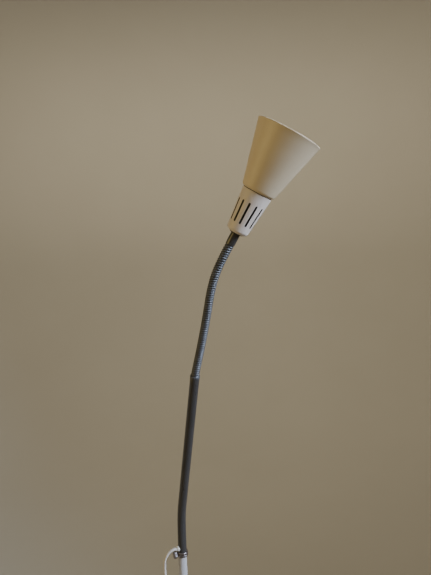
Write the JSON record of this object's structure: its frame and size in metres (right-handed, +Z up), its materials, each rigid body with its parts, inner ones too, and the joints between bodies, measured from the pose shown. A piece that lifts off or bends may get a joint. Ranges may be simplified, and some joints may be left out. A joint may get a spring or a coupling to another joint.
{
  "type": "torchiere floor lamp",
  "caption": "Slim floor lamp with a round weighted base, a thin white pole, a swivelling bent dark arm, a ribbed gooseneck and a small upward cone shade on a slotted neck.",
  "frame": {"origin": "centre of the base's underside, on the floor", "axes": "+Z up along the pole; the shade leans towards +X and towards -Y, the side that the lamp is seen from"},
  "size_m": [0.3911, 0.3277, 1.4946],
  "materials": {
    "pad": "matt",
    "weight": "rough",
    "white_paint": "gloss",
    "steel": "zinc plated",
    "bush": "matt",
    "plating": "bright",
    "dark_paint": "satin",
    "dark_plating": "dark nickel",
    "white_plastic": "gloss",
    "rocker_plastic": "gloss",
    "black_plastic": "satin",
    "cover_paint": "satin",
    "shade_paint": "satin",
    "brass": "bright",
    "bulb_metal": "satin",
    "bulb_glass": "frosted",
    "lead": "satin"
  },
  "bodies": {
    "stand": {"base_pad": "pad", "base_weight": "weight", "base_cover": "white_paint", "base_washer": "steel", "base_nut": "steel", "base_stud": "steel", "foot_collar": "white_paint", "pole_lower": "white_paint", "pole_joint": "steel", "pole_upper": "white_paint", "pole_bush": "bush", "pole_collar": "plating", "lead_upper": "lead", "switch_back": "white_plastic", "switch_front": "white_plastic", "switch_screws": "steel", "switch_contacts": "brass", "switch_sleeves": "white_plastic", "lead_lower": "lead", "lead_coil": "lead", "coil_tie": "black_plastic", "lead_tail": "lead", "plug_sleeve": "white_plastic", "plug_body": "white_plastic", "plug_pins": "plating"},
    "screw": {"lock_screw": "plating"},
    "rocker": {"switch_rocker": "rocker_plastic"},
    "arm": {"arm_pin": "steel", "arm_tube": "dark_paint", "cord_grommet": "white_plastic", "arm_lead": "lead", "arm_ferrule": "plating", "gooseneck_foot": "dark_plating"},
    "link_1": {"gooseneck_link_1": "dark_plating"},
    "link_2": {"gooseneck_link_2": "dark_plating"},
    "link_3": {"gooseneck_link_3": "dark_plating"},
    "link_4": {"gooseneck_link_4": "dark_plating"},
    "link_5": {"gooseneck_link_5": "dark_plating"},
    "link_6": {"gooseneck_link_6": "dark_plating"},
    "link_7": {"gooseneck_link_7": "dark_plating"},
    "head": {"gooseneck_tip": "dark_plating", "head_ferrule": "dark_paint", "head_nut": "steel", "neck_cap": "black_plastic", "socket_cover": "cover_paint", "lampholder": "black_plastic", "thread_shell": "brass", "centre_contact": "brass", "terminal_screws": "steel", "head_wires": "lead", "shade": "shade_paint", "shade_ring": "black_plastic", "bulb_glass": "bulb_glass", "bulb_cap": "bulb_metal", "bulb_tip": "brass"}
  },
  "joints": [
    {"name": "arm_swivel", "type": "hinge", "parent": "stand", "child": "arm", "pos_m": [0, 0, 0.905], "axis": [0, 0, 1], "range_deg": [-170, 170]},
    {"name": "side_bend_1", "type": "hinge", "parent": "arm", "child": "link_1", "pos_m": [0.0313, -0.07375, 1.18823], "axis": [0.0578, 0.9526, 0.2988], "range_deg": [-20, 20]},
    {"name": "front_bend_1", "type": "hinge", "parent": "link_1", "child": "link_2", "pos_m": [0.03673, -0.08081, 1.20998], "axis": [0.974, 0.07, -0.2156], "range_deg": [-20, 20]},
    {"name": "side_bend_2", "type": "hinge", "parent": "link_2", "child": "link_3", "pos_m": [0.04196, -0.08789, 1.23177], "axis": [0.0679, 0.9534, 0.2941], "range_deg": [-20, 20]},
    {"name": "front_bend_2", "type": "hinge", "parent": "link_3", "child": "link_4", "pos_m": [0.0468, -0.095, 1.25364], "axis": [0.9802, 0.0612, -0.1884], "range_deg": [-20, 20]},
    {"name": "side_bend_3", "type": "hinge", "parent": "link_4", "child": "link_5", "pos_m": [0.05127, -0.10213, 1.27558], "axis": [0.0592, 0.9528, 0.2978], "range_deg": [-20, 20]},
    {"name": "front_bend_3", "type": "hinge", "parent": "link_5", "child": "link_6", "pos_m": [0.05554, -0.10927, 1.29756], "axis": [0.973, 0.0713, -0.2195], "range_deg": [-20, 20]},
    {"name": "side_bend_4", "type": "hinge", "parent": "link_6", "child": "link_7", "pos_m": [0.0621, -0.11624, 1.31902], "axis": [0.1081, 0.9575, 0.2674], "range_deg": [-20, 20]},
    {"name": "front_bend_4", "type": "hinge", "parent": "link_7", "child": "head", "pos_m": [0.07235, -0.12277, 1.33913], "axis": [0.8885, 0.1418, -0.4364], "range_deg": [-20, 20]},
    {"name": "screw_turn", "type": "hinge", "parent": "stand", "child": "screw", "pos_m": [-0.00612, -0.00285, 0.9039], "axis": [-0.9063, -0.4226, 0], "range_deg": [-360, 360]},
    {"name": "switch_rock", "type": "hinge", "parent": "stand", "child": "rocker", "pos_m": [-0.02909, -0.01357, 0.545], "axis": [0.4226, -0.9063, 0], "range_deg": [0, 12]}
  ],
  "couplings": [
    {"joint": "side_bend_2", "follows": "side_bend_1", "ratio": 1},
    {"joint": "side_bend_3", "follows": "side_bend_1", "ratio": 1},
    {"joint": "side_bend_4", "follows": "side_bend_1", "ratio": 1},
    {"joint": "front_bend_2", "follows": "front_bend_1", "ratio": 1},
    {"joint": "front_bend_3", "follows": "front_bend_1", "ratio": 1},
    {"joint": "front_bend_4", "follows": "front_bend_1", "ratio": 1}
  ]
}
